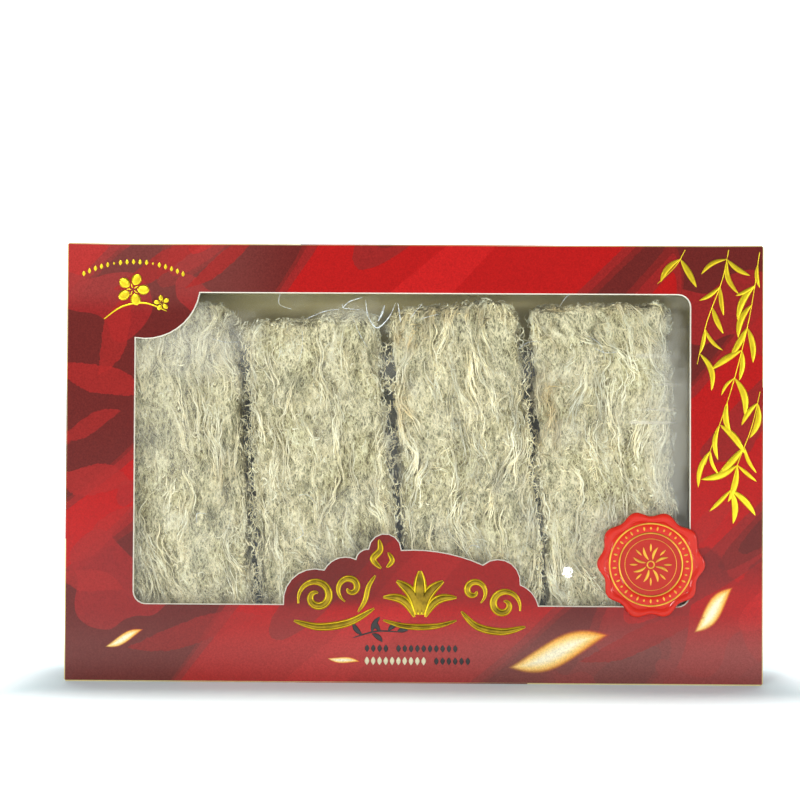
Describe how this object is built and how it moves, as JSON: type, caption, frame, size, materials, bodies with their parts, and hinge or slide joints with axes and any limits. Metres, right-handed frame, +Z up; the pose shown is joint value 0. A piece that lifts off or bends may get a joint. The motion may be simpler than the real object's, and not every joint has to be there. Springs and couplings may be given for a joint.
{
  "type": "edible bird's nest gift carton",
  "caption": "Flat window carton standing on its long edge, holding pressed slabs of pale edible bird's nest side by side in a clear tray, with a red seal on its front.",
  "frame": {"origin": "on the surface that the carton stands on, under the middle of the whole object", "axes": "+X along the carton's width, to the right seen from the window side; +Y from the window side towards the back; +Z up"},
  "size_m": [0.3066, 0.0378, 0.192],
  "materials": {
    "carton_board": "printed card, glossy red outside with gold, plain khaki inside",
    "window_film_plastic": "clear flat film",
    "inner_wrap_plastic": "clear thin wrap with creases",
    "tray_plastic": "clear formed plastic",
    "nest_strands": "dried translucent ivory strands, slightly waxy",
    "seal_red": "glossy red with gold rings"
  },
  "bodies": {
    "root": {"carton": "carton_board", "window_film": "window_film_plastic", "inner_wrap": "inner_wrap_plastic", "tray": "tray_plastic", "nest_1": "nest_strands", "nest_2": "nest_strands", "nest_3": "nest_strands", "nest_4": "nest_strands", "seal": "seal_red"}
  },
  "joints": []
}
